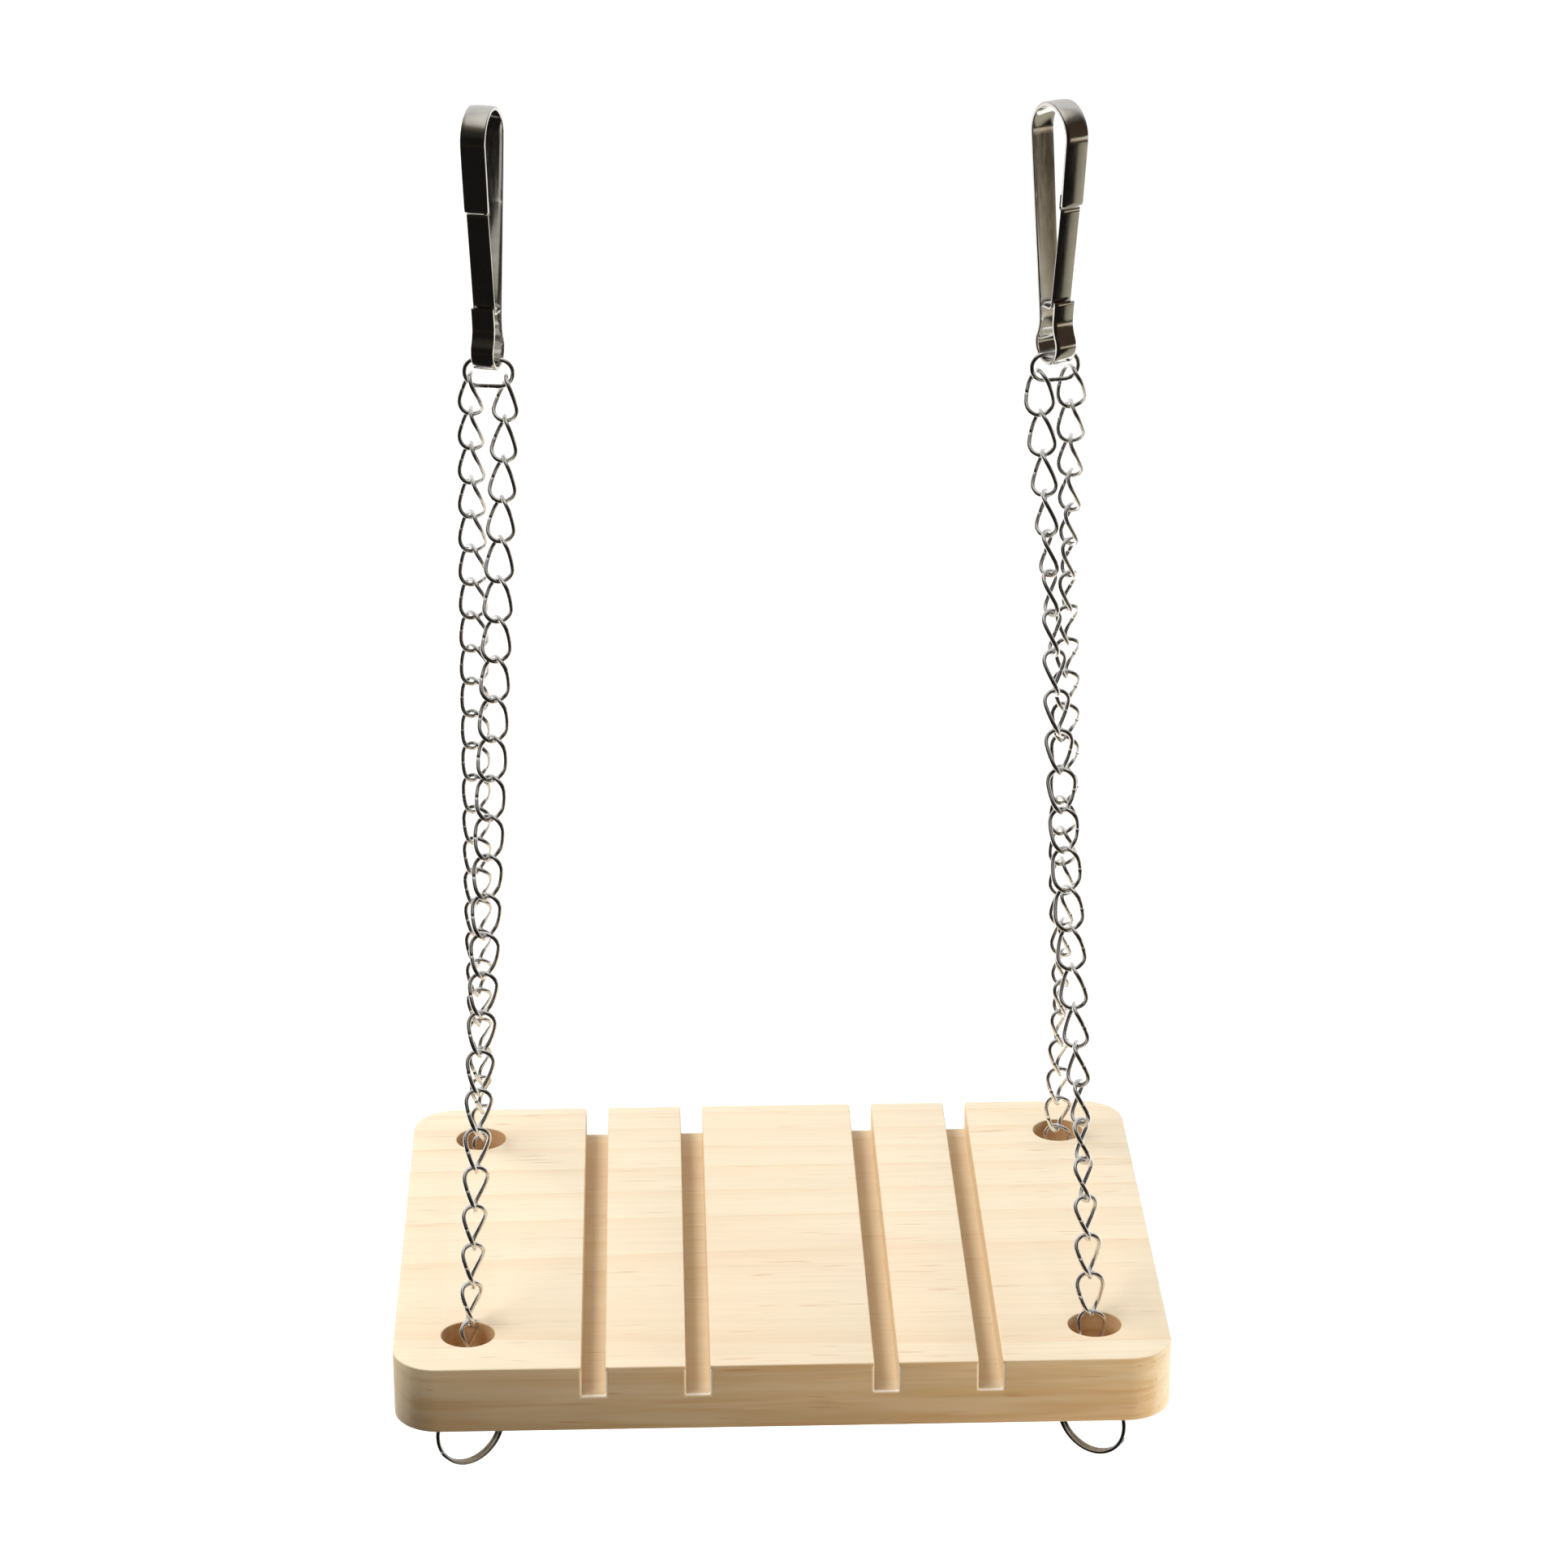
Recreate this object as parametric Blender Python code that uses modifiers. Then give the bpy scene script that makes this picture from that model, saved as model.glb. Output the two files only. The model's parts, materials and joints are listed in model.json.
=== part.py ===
"""A chain-hung wooden platform swing for pet birds.

One grooved board hangs by two chains from two strip-steel spring clips. Each chain runs from a split ring
under the front hole, up through the lower eye of its clip, and down to the split ring under the back hole.
Metres, +Z up, front towards -Y. The origin is the middle of the bar that both clips hang on.
"""

import math

import bmesh
import bpy
from mathutils import Matrix, Vector

MM = 0.001

# Board
BOARD_WIDTH = 150.0 * MM
BOARD_DEPTH = 115.0 * MM
BOARD_THICKNESS = 13.5 * MM
CORNER_RADIUS = 9.0 * MM
EDGE_EASING = 0.5 * MM
HOLE_DIAMETER = 10.3 * MM
HOLE_INSET = 14.3 * MM
GROOVE_WIDTH = 4.6 * MM
GROOVE_DEPTH = 6.1 * MM
GROOVE_END_EASING = 0.4 * MM
GROOVE_INNER_SPACING = 36.0 * MM
GROOVE_PAIR_PITCH = 20.0 * MM
GROOVE_SHIFT = 1.6 * MM

# Chain
LINK_WIRE = 1.0 * MM
LINK_PITCH = 7.75 * MM
LINK_INNER_WIDTH = 4.2 * MM
LINK_TWIST = math.radians(-90.0)
CHAIN_HALF_TURNS = {"left": 1, "right": -2}
SADDLE_LENGTH = 10.2 * MM
LINKS_PER_RUN = 4
RUNS_PER_LEG = 6
LINK_WELD = 0.10 * MM
LINK_CLEARANCE = 0.40 * MM
HOLE_LEAN = math.radians(7.0)

# Split rings
RING_DIAMETER = 16.0 * MM
RING_WIRE = 0.7 * MM
RING_TURN_GAP = 0.20 * MM
RING_YAW = math.radians(37.0)
RING_SPLIT = math.radians(138.0)
RING_END_SPACE = math.radians(40.0)
RING_CROSSING = math.radians(50.0)
RING_CLEARANCE = 0.80 * MM
RING_LINK_CLEARANCE = 0.60 * MM

# Spring clips
HANGER_SPACING = 106.6 * MM
CLIP_HEIGHT = 50.5 * MM
CLIP_STRIP = 0.8 * MM
DOME_INNER_RADIUS = 5.5 * MM
EYE_INNER_RADIUS = 3.2 * MM
WAIST_INNER_DEPTH = 4.0 * MM
WAIST_FILLET = 6.0 * MM
DOME_WIDTH = 4.8 * MM
WAIST_WIDTH = 4.4 * MM
EYE_WIDTH = 4.4 * MM
NOSE_LENGTH = 19.0 * MM
TONGUE_LENGTH = 11.8 * MM
CLIP_TURN = {"left": math.radians(-16.0), "right": math.radians(29.0)}
EYE_CLEARANCE = 0.80 * MM
SADDLE_CLEARANCE = 0.70 * MM

# Spring gates
GATE_STRIP = 0.5 * MM
GATE_WIDTH = 4.3 * MM
GATE_TAB_WIDTH = 1.8 * MM
GATE_TAB_REACH = 0.6 * MM
GATE_BEND = 1.2 * MM
GATE_TUCK = 1.5 * MM
GATE_OVERLAP = 2.2 * MM
GATE_STEP = 0.5 * MM
GATE_STEP_HEIGHT = 1.0 * MM
GATE_CLEARANCE = 0.30 * MM

# Facets
LINK_SEGMENTS = 10
WIRE_SIDES = 5
RING_STEP = math.radians(25.0)
CORNER_SEGMENTS = 6
HOLE_SEGMENTS = 28
ARC_STEP = math.radians(15.0)
RING_ROUNDING = 1
MERGE_DISTANCE = 0.01 * MM

SIDES = {"left": -1.0, "right": 1.0}
ENDS = {"front": -1.0, "back": 1.0}
UP = Vector((0.0, 0.0, 1.0))

# Sizes that follow from the ones above
link_radius = LINK_WIRE / 2
link_inner_flat = link_radius * math.cos(math.pi / WIRE_SIDES)
link_end_radius = LINK_INNER_WIDTH / 2 + link_radius
link_half_length = LINK_PITCH / 2 + link_inner_flat - LINK_WELD / 2
saddle_half_length = SADDLE_LENGTH / 2 - link_radius
link_seat = 2 * link_inner_flat + LINK_CLEARANCE
free_spacing = 2 * link_half_length - link_seat
hole_x = BOARD_WIDTH / 2 - HOLE_INSET
hole_y = BOARD_DEPTH / 2 - HOLE_INSET
ring_pitch = RING_WIRE + RING_TURN_GAP
ring_radius = (RING_DIAMETER - RING_WIRE) / 2
hanger_x = HANGER_SPACING / 2
eye_floor = -(CLIP_HEIGHT - 2 * CLIP_STRIP)


def clear_scene():
    for item in list(bpy.data.objects):
        bpy.data.objects.remove(item)


def new_collection(name):
    collection = bpy.data.collections.new(name)
    bpy.context.scene.collection.children.link(collection)
    return collection


def new_material(name, color, roughness, metallic):
    material = bpy.data.materials.new(name)
    material.use_nodes = True
    shader = material.node_tree.nodes["Principled BSDF"]
    shader.inputs["Base Color"].default_value = (*color, 1.0)
    shader.inputs["Roughness"].default_value = roughness
    shader.inputs["Metallic"].default_value = metallic
    return material


def add_object(name, mesh, collection, material=None):
    item = bpy.data.objects.new(name, mesh)
    collection.objects.link(item)
    if material:
        mesh.materials.clear()
        mesh.materials.append(material)
    return item


def add_empty(name, place, parent=None):
    empty = bpy.data.objects.new(name, None)
    parts.objects.link(empty)
    hang(empty, place, parent)
    return empty


def hang(item, place, parent):
    """Put an object's origin at a world place, under a parent that has no rotation."""
    item["place"] = list(place)
    item.parent = parent
    item.location = Vector(place) - Vector(parent["place"]) if parent else place


def hang_on(item, parent):
    """Move a mesh's origin to its parent's joint axis, with the mesh left where it is."""
    item.data.transform(Matrix.Translation(-Vector(parent["place"])))
    hang(item, parent["place"], parent)


def as_cutter(item):
    item.hide_render = True
    item.display_type = "WIRE"
    return item


def boolean(item, other, operation):
    modifier = item.modifiers.new(operation.lower(), "BOOLEAN")
    modifier.operation = operation
    modifier.object = other
    return modifier


def smooth(mesh, angle=math.radians(40.0)):
    mesh.shade_smooth()
    mesh.set_sharp_from_angle(angle=angle)


def evaluated_mesh(item):
    graph = bpy.context.evaluated_depsgraph_get()
    return bpy.data.meshes.new_from_object(item.evaluated_get(graph))


def box_mesh(name, low, high):
    mesh = bpy.data.meshes.new(name)
    shape = bmesh.new()
    size = Vector(high) - Vector(low)
    middle = (Vector(high) + Vector(low)) / 2
    bmesh.ops.create_cube(shape, size=1.0, matrix=Matrix.Translation(middle) @ Matrix.Diagonal((*size, 1.0)))
    shape.to_mesh(mesh)
    shape.free()
    return mesh


def torus_mesh():
    """A round wire ring in the XZ plane, with a segment's corner at the top and at the bottom."""
    bpy.ops.mesh.primitive_torus_add(
        major_radius=link_end_radius,
        minor_radius=link_radius,
        major_segments=LINK_SEGMENTS,
        minor_segments=WIRE_SIDES,
    )
    item = bpy.context.object
    mesh = item.data
    bpy.data.objects.remove(item)
    half_segment = math.pi / LINK_SEGMENTS
    mesh.transform(Matrix.Rotation(math.pi / 2, 4, "X") @ Matrix.Rotation(half_segment, 4, "Z"))
    return mesh


def link_mesh(half_length, twist):
    """An oval wire link along Z: a ring drawn out to the link's length and twisted about its long axis."""
    mesh = torus_mesh()
    straight = half_length - link_end_radius
    for corner in mesh.vertices:
        corner.co.z += math.copysign(straight, corner.co.z)
        turn = Matrix.Rotation(twist / 2 * corner.co.z / half_length, 3, "Z")
        corner.co = turn @ corner.co
    smooth(mesh)
    return mesh


def link_frame(center, along, turn):
    """The matrix of a link at a centre: its top end towards along, its plane turned from the X axis."""
    across = (Vector((1.0, 0.0, 0.0)) - along * along.x).normalized()
    behind = along.cross(across)
    axes = Matrix((across, behind, along)).transposed().to_4x4()
    return Matrix.Translation(center) @ axes @ Matrix.Rotation(turn, 4, "Z")


def fused_links(name, frames):
    """One run of neighbouring links as one solid, each link sunk a hair into the next where they bear."""
    items = []
    for frame in frames:
        mesh = link_mesh(link_half_length, LINK_TWIST)
        mesh.transform(frame)
        items.append(add_object(name, mesh, cutters))
    for other in items[1:]:
        boolean(items[0], other, "UNION")
    run = evaluated_mesh(items[0])
    for item in items:
        bpy.data.objects.remove(item)
    smooth(run)
    return add_object(name, run, parts, chain_metal)


def single_link(name, frame, half_length, twist):
    mesh = link_mesh(half_length, twist)
    mesh.transform(frame)
    return add_object(name, mesh, parts, chain_metal)


def groove_mouth_mesh(x, end, top):
    """A cutter that eases a groove's edges at a long face of the board: a box that widens through the face."""
    face = end * BOARD_DEPTH / 2
    ys = sorted((face - end * GROOVE_END_EASING, face + end * GROOVE_END_EASING))
    low = (x - GROOVE_WIDTH / 2, ys[0], top - GROOVE_DEPTH)
    high = (x + GROOVE_WIDTH / 2, ys[1], top + GROOVE_DEPTH)
    mesh = box_mesh("groove_mouth", low, high)
    for corner in mesh.vertices:
        if (corner.co.y - face) * end > 0:
            corner.co.x += math.copysign(2 * GROOVE_END_EASING, corner.co.x - x)
            corner.co.z += math.copysign(2 * GROOVE_END_EASING, corner.co.z - top)
    return mesh


def build_board(top):
    """The board: an eased block with round corners, cut by four grooves and four holes."""
    bottom = top - BOARD_THICKNESS
    half_width = BOARD_WIDTH / 2
    half_depth = BOARD_DEPTH / 2
    mesh = box_mesh("board", (-half_width, -half_depth, bottom), (half_width, half_depth, top))
    shape = bmesh.new()
    shape.from_mesh(mesh)
    upright = [edge for edge in shape.edges if edge.verts[0].co.z != edge.verts[1].co.z]
    bmesh.ops.bevel(
        shape, geom=upright, offset=CORNER_RADIUS, segments=CORNER_SEGMENTS, profile=0.5, affect="EDGES")
    rims = [edge for edge in shape.edges if edge.verts[0].co.z == edge.verts[1].co.z]
    bmesh.ops.bevel(shape, geom=rims, offset=EDGE_EASING, segments=1, profile=0.5, affect="EDGES")
    shape.to_mesh(mesh)
    shape.free()
    board = add_object("board", mesh, parts, wood)
    for x in groove_places():
        low = (x - GROOVE_WIDTH / 2, -BOARD_DEPTH, top - GROOVE_DEPTH)
        high = (x + GROOVE_WIDTH / 2, BOARD_DEPTH, top + GROOVE_DEPTH)
        shapes = [groove_mouth_mesh(x, end, top) for end in ENDS.values()]
        shapes.append(box_mesh("groove_cutter", low, high))
        for shape in shapes:
            boolean(board, as_cutter(add_object("groove_cutter", shape, cutters)), "DIFFERENCE")
    for side in SIDES.values():
        for end in ENDS.values():
            middle = (side * hole_x, end * hole_y, top - BOARD_THICKNESS / 2)
            bpy.ops.mesh.primitive_cylinder_add(
                vertices=HOLE_SEGMENTS, radius=HOLE_DIAMETER / 2, depth=2 * BOARD_THICKNESS, location=middle)
            cutter = as_cutter(bpy.context.object)
            move_to(cutter, cutters)
            cutter.name = "hole_cutter"
            boolean(board, cutter, "DIFFERENCE")
    return board


def groove_places():
    inner = GROOVE_INNER_SPACING / 2
    outer = inner + GROOVE_PAIR_PITCH
    return [GROOVE_SHIFT + x for x in (-outer, -inner, inner, outer)]


def move_to(item, collection):
    for old in list(item.users_collection):
        old.objects.unlink(item)
    collection.objects.link(item)


def ring_points():
    """The centre line of a split ring in its own XZ plane: two flat turns joined by one crossing."""
    start = RING_CROSSING / 2 + RING_END_SPACE
    finish = 4 * math.pi - start
    count = round((finish - start) / RING_STEP)
    points = []
    for step in range(count + 1):
        angle = start + (finish - start) * step / count
        share = (angle - 2 * math.pi + RING_CROSSING / 2) / RING_CROSSING
        share = min(max(share, 0.0), 1.0)
        offset = ring_pitch * (share * share * (3 - 2 * share) - 0.5)
        turn = angle + RING_SPLIT
        points.append(Vector((ring_radius * math.cos(turn), offset, ring_radius * math.sin(turn))))
    return points


def least_ring_gap(points):
    """The least clear distance between the two turns of the ring, from its centre line."""
    apart = round(math.pi / RING_STEP)
    pairs = [(a, b) for i, a in enumerate(points) for b in points[i + apart:]]
    return min((a - b).length for a, b in pairs) - RING_WIRE


def build_ring(name, center, yaw):
    """A split ring of two turns of wire, standing upright with its crown in the hole."""
    points = ring_points()
    curve = bpy.data.curves.new(name, "CURVE")
    curve.dimensions = "3D"
    curve.bevel_depth = RING_WIRE / 2
    curve.bevel_resolution = RING_ROUNDING
    curve.use_fill_caps = True
    spline = curve.splines.new("POLY")
    spline.points.add(len(points) - 1)
    for point, place in zip(spline.points, points):
        point.co = (*place, 1.0)
    wire = add_object(name, curve, cutters)
    mesh = evaluated_mesh(wire)
    bpy.data.objects.remove(wire)
    shape = bmesh.new()
    shape.from_mesh(mesh)
    bmesh.ops.remove_doubles(shape, verts=shape.verts, dist=MERGE_DISTANCE)
    shape.to_mesh(mesh)
    shape.free()
    mesh.transform(Matrix.Translation(center) @ Matrix.Rotation(yaw, 4, "Z"))
    smooth(mesh)
    return add_object(name, mesh, parts, ring_metal)


def arc(center, radius, start, finish):
    """Points on an arc in a clip's own plane, as (depth, height), from one angle to another."""
    count = max(2, math.ceil(abs(finish - start) / ARC_STEP))
    angles = [start + (finish - start) * step / count for step in range(count + 1)]
    return [(center[0] + radius * math.cos(a), center[1] + radius * math.sin(a)) for a in angles]


def clip_outline():
    """The centre lines of a clip's strip: the spine side from the dome's crown to the eye's floor."""
    half_strip = CLIP_STRIP / 2
    dome = (0.0, -DOME_INNER_RADIUS)
    dome_radius = DOME_INNER_RADIUS + half_strip
    eye = (0.0, eye_floor + EYE_INNER_RADIUS)
    eye_radius = EYE_INNER_RADIUS + half_strip
    fillet_x = WAIST_INNER_DEPTH / 2 + half_strip + WAIST_FILLET
    fillet_z = eye[1] + math.sqrt((eye_radius + WAIST_FILLET) ** 2 - fillet_x ** 2)
    reach = math.hypot(fillet_x - dome[0], fillet_z - dome[1])
    heading = math.atan2(fillet_z - dome[1], fillet_x - dome[0])
    touch = heading + math.acos((dome_radius + WAIST_FILLET) / reach)
    flare = math.atan2(eye[1] - fillet_z, eye[0] - fillet_x) + 2 * math.pi
    crown = arc(dome, dome_radius, math.pi / 2, touch)
    waist = arc((fillet_x, fillet_z), WAIST_FILLET, touch + math.pi, flare)
    floor = arc(eye, eye_radius, flare - math.pi, -math.pi / 2)
    return crown + waist + floor[1:]


def depth_at(outline, height):
    """How far the strip's centre line lies from the clip's middle at a height on its long straight side."""
    for (x0, z0), (x1, z1) in zip(outline, outline[1:]):
        if z1 <= height <= z0:
            return x0 + (x1 - x0) * (z0 - height) / (z0 - z1)
    raise ValueError("height is off the clip")


def cut_outline(outline, height):
    """The part of an outline above a height, ended exactly there."""
    kept = [point for point in outline if point[1] > height]
    return kept + [(depth_at(outline, height), height)]


def strip_width(height):
    """The clip strip's width: broad at the dome, drawn in at the waist and a little wider at the eye."""
    waist_height = eye_floor + TONGUE_LENGTH
    shoulder = -2 * DOME_INNER_RADIUS
    if height > waist_height:
        share = min(1.0, (height - waist_height) / (shoulder - waist_height))
        return WAIST_WIDTH + (DOME_WIDTH - WAIST_WIDTH) * share
    share = min(1.0, (waist_height - height) / (waist_height - eye_floor))
    return WAIST_WIDTH + (EYE_WIDTH - WAIST_WIDTH) * share


def strip_object(name, path, widths, thickness, material):
    """A bent metal strip: a path in the YZ plane drawn out sideways to its width, then thickened."""
    mesh = bpy.data.meshes.new(name)
    shape = bmesh.new()
    line = [shape.verts.new((0.0, depth, height)) for depth, height in path]
    edges = [shape.edges.new(pair) for pair in zip(line, line[1:])]
    half = {vert: width / 2 for vert, width in zip(line, widths)}
    result = bmesh.ops.extrude_edge_only(shape, edges=edges)
    drawn = [item for item in result["geom"] if isinstance(item, bmesh.types.BMVert)]
    for vert in drawn:
        partner = min(line, key=lambda other: (other.co - vert.co).length)
        vert.co.x = half[partner]
    for vert in line:
        vert.co.x = -half[vert]
    bmesh.ops.recalc_face_normals(shape, faces=shape.faces)
    shape.to_mesh(mesh)
    shape.free()
    item = add_object(name, mesh, parts, material)
    solid = item.modifiers.new("thickness", "SOLIDIFY")
    solid.thickness = thickness
    solid.offset = 0.0
    solid.use_even_offset = True
    smooth(mesh)
    return item


def gate_height():
    """The height at which a gate's foot crosses the clip, tucked behind the end of the base tongue."""
    return eye_floor + TONGUE_LENGTH - GATE_TUCK


def build_clip(side):
    """A clip body: nose, dome, spine, waist and eye from one strip that ends in the base tongue."""
    outline = clip_outline()
    nose = [(-x, z) for x, z in cut_outline(outline, CLIP_STRIP - NOSE_LENGTH)]
    tongue_top = eye_floor + TONGUE_LENGTH
    tongue = [(-x, z) for x, z in outline if z < tongue_top]
    tongue.insert(0, (-depth_at(outline, tongue_top), tongue_top))
    path = nose[:0:-1] + outline + tongue[-2::-1]
    widths = [strip_width(height) for _, height in path]
    clip = strip_object(side + "_clip", path, widths, CLIP_STRIP, clip_metal)
    foot = gate_height()
    spine = depth_at(outline, foot)
    half_width = GATE_TAB_WIDTH / 2 + GATE_CLEARANCE
    half_height = GATE_STRIP / 2 + GATE_CLEARANCE
    low = (-half_width, spine - 2 * CLIP_STRIP, foot - half_height)
    high = (half_width, spine + 2 * CLIP_STRIP, foot + half_height)
    cutter = as_cutter(add_object(side + "_slot_cutter", box_mesh("slot_cutter", low, high), cutters))
    boolean(clip, cutter, "DIFFERENCE")
    for item in (clip, cutter):
        item.rotation_euler.z = CLIP_TURN[side]
        item.location.x = SIDES[side] * hanger_x
    return clip


def build_gate(side):
    """A spring gate: a leaf stepped in behind the nose, whose foot crosses the clip to a slot in the spine."""
    outline = clip_outline()
    foot = gate_height()
    spine = depth_at(outline, foot)
    nose_end = CLIP_STRIP - NOSE_LENGTH
    tip = nose_end + GATE_OVERLAP
    inside = CLIP_STRIP / 2 + GATE_STRIP / 2 + GATE_CLEARANCE
    tip_depth = inside - depth_at(outline, tip)
    shoulder = nose_end - GATE_CLEARANCE
    shoulder_depth = inside - depth_at(outline, shoulder)
    step = [(shoulder_depth - GATE_STEP, shoulder - GATE_STEP_HEIGHT), (shoulder_depth, shoulder)]
    front = inside - depth_at(outline, foot)
    bend = arc((front + GATE_BEND, foot + GATE_BEND), GATE_BEND, 1.5 * math.pi, math.pi)
    tab = [(spine + CLIP_STRIP / 2 + GATE_TAB_REACH, foot), (spine - CLIP_STRIP, foot)]
    path = tab + [(bend[0][0] + GATE_BEND / 2, foot)] + bend + step + [(tip_depth, tip)]
    widths = [GATE_TAB_WIDTH] * len(tab) + [GATE_WIDTH] * (len(path) - len(tab))
    gate = strip_object(side + "_gate", path, widths, GATE_STRIP, gate_metal)
    turn = Matrix.Rotation(CLIP_TURN[side], 4, "Z")
    pivot = turn @ Vector((0.0, spine, foot)) + Vector((SIDES[side] * hanger_x, 0.0, 0.0))
    gate.data.transform(Matrix.Translation((0.0, -spine, -foot)))
    gate.rotation_euler.z = CLIP_TURN[side]
    return gate, pivot


def saddle_middle(side):
    """The centre of the middle link of a chain, which lies level with its upper wire inside the clip's eye."""
    return Vector((SIDES[side] * hanger_x, 0.0, eye_floor + EYE_CLEARANCE + link_radius - link_end_radius))


def saddle_turn(side):
    """The turn of a saddle link from the X axis, half way to the turn of the eye that it passes through."""
    return CLIP_TURN[side] / 2


def leg_top(side, end):
    """The centre of the wire of a leg's top link where it hangs in the end of the saddle link."""
    corner = 2 * math.pi / LINK_SEGMENTS
    reach = link_end_radius - 2 * link_radius - SADDLE_CLEARANCE
    out = saddle_half_length - link_end_radius + reach * math.cos(corner)
    hung = Vector((SIDES[side] * ENDS[end] * out, 0.0, -reach * math.sin(corner)))
    return saddle_middle(side) + Matrix.Rotation(saddle_turn(side), 3, "Z") @ hung


def ring_drop():
    """How far a ring's centre lies below the board, with its crown drawn into the hole."""
    half_thickness = (ring_pitch + RING_WIRE) / 2
    room = HOLE_DIAMETER / 2 - RING_CLEARANCE
    half_chord = math.sqrt(room ** 2 - half_thickness ** 2)
    return math.sqrt((RING_DIAMETER / 2) ** 2 - half_chord ** 2)


def ring_seat():
    """How far a ring's crown lies above the bottom wire of the link that holds it, between wire centres."""
    inner_radius = link_end_radius - link_radius
    sink = inner_radius - math.sqrt((inner_radius - RING_WIRE / 2) ** 2 - (ring_pitch / 2) ** 2)
    return sink + link_radius + RING_LINK_CLEARANCE


def hole_link_foot():
    """The height of the lowest link's bottom wire centre, from the board's top."""
    crown = -BOARD_THICKNESS - ring_drop() + ring_radius
    return crown - ring_seat()


def hole_axis(side, end):
    """The direction of the links inside a hole, leaning towards the place that their leg hangs from."""
    lean = leg_top(side, end) - Vector((SIDES[side] * hole_x, ENDS[end] * hole_y, 0.0))
    lean.z = 0.0
    return UP * math.cos(HOLE_LEAN) + lean.normalized() * math.sin(HOLE_LEAN)


def hole_exit(side, end):
    """The top wire centre of the links inside a hole, at a board whose top is at height 0."""
    foot = Vector((SIDES[side] * hole_x, ENDS[end] * hole_y, hole_link_foot()))
    return foot + hole_axis(side, end) * (2 * link_half_length + free_spacing)


def leg_span(spacing):
    """The distance from a leg's top wire to the wire it ends on, for a spacing between its runs of links."""
    welded = RUNS_PER_LEG * (LINKS_PER_RUN - 1) * LINK_PITCH
    return welded + (RUNS_PER_LEG - 1) * spacing + 2 * link_half_length - link_seat


def board_height():
    """The height of the board's top at which its four legs, on average, are just taut."""
    heights = []
    for side in SIDES:
        for end in ENDS:
            across = leg_top(side, end) - hole_exit(side, end)
            across.z = 0.0
            drop = math.sqrt(leg_span(free_spacing) ** 2 - across.length_squared)
            heights.append(leg_top(side, end).z - drop - hole_exit(side, end).z)
    return sum(heights) / len(heights)


def ring_turn(side):
    """The turn of a ring about its upright axis, mirrored from left to right with each split outwards."""
    return RING_YAW if side == "left" else math.pi - RING_YAW


def leg_turns(side):
    """The turn of each link about its leg: an even twist from square to the saddle to square to the ring."""
    count = RUNS_PER_LEG * LINKS_PER_RUN + 2
    start = saddle_turn(side) + math.pi / 2 - LINK_TWIST / 2
    finish = ring_turn(side) + math.pi / 2 + LINK_TWIST / 2 * (1 - ring_seat() / link_half_length)
    twist = math.remainder(finish - start, math.pi) + CHAIN_HALF_TURNS[side] * math.pi
    return [start + twist * step / (count - 1) for step in range(count)]


def build_leg(side, end, top):
    """One leg of a chain as runs of links, from the saddle link down to the hole."""
    upper = leg_top(side, end)
    lower = hole_exit(side, end) + UP * top
    along = (upper - lower).normalized()
    taut = leg_span(0.0)
    spacing = ((upper - lower).length - taut) / (RUNS_PER_LEG - 1)
    turns = leg_turns(side)
    runs = []
    center = upper - along * link_half_length
    for run in range(RUNS_PER_LEG):
        frames = []
        for link in range(LINKS_PER_RUN):
            frames.append(link_frame(center, along, turns[run * LINKS_PER_RUN + link]))
            center = center - along * (LINK_PITCH if link < LINKS_PER_RUN - 1 else spacing)
        runs.append(fused_links(f"{side}_{end}_chain_{run + 1}", frames))
    return runs


def build_hole_links(side, end, top):
    """The two links inside a hole, which tie a leg to its ring."""
    axis = hole_axis(side, end)
    center = hole_exit(side, end) + UP * top - axis * link_half_length
    turns = leg_turns(side)
    links = []
    for name, turn in zip(("upper", "lower"), turns[-2:]):
        frame = link_frame(center, axis, turn)
        links.append(single_link(f"{side}_{end}_{name}_hole_link", frame, link_half_length, LINK_TWIST))
        center = center - axis * free_spacing
    return links


def build():
    top = board_height()
    swing_height = saddle_middle("left").z + link_end_radius
    board = build_board(top)
    hole_links = []
    chain_axes = {}
    for side in SIDES:
        hanger = add_empty(side + "_hanger", (SIDES[side] * hanger_x, 0.0, 0.0))
        clip = build_clip(side)
        hang(clip, hanger["place"], hanger)
        gate, pivot = build_gate(side)
        hang(gate, pivot, hanger)
        swing_axis = add_empty(side + "_swing_axis", (SIDES[side] * hanger_x, 0.0, swing_height), hanger)
        turned = Matrix.Rotation(saddle_turn(side), 4, "Z") @ Matrix.Rotation(math.pi / 2, 4, "Y")
        lying = Matrix.Translation(saddle_middle(side)) @ turned
        hang_on(single_link(side + "_saddle_link", lying, saddle_half_length, 0.0), swing_axis)
        chain_axes[side] = add_empty(side + "_sway_axis", saddle_middle(side), swing_axis)
        for end in ENDS:
            for run in build_leg(side, end, top):
                hang_on(run, chain_axes[side])
            hole_links += build_hole_links(side, end, top)
    exits = [hole_exit("left", end) for end in ENDS]
    level_axis = add_empty("level_axis", (exits[0] + exits[1]) / 2 + UP * top, chain_axes["left"])
    hang_on(board, level_axis)
    for link in hole_links:
        hang_on(link, level_axis)
    for side in SIDES:
        for end in ENDS:
            drop = BOARD_THICKNESS + ring_drop()
            center = Vector((SIDES[side] * hole_x, ENDS[end] * hole_y, top - drop))
            ring_axis = add_empty(f"{side}_{end}_ring_axis", center, level_axis)
            hang_on(build_ring(f"{side}_{end}_ring", center, ring_turn(side)), ring_axis)
    print("least gap between a ring's turns, mm:", round(least_ring_gap(ring_points()) / MM, 2))


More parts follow.
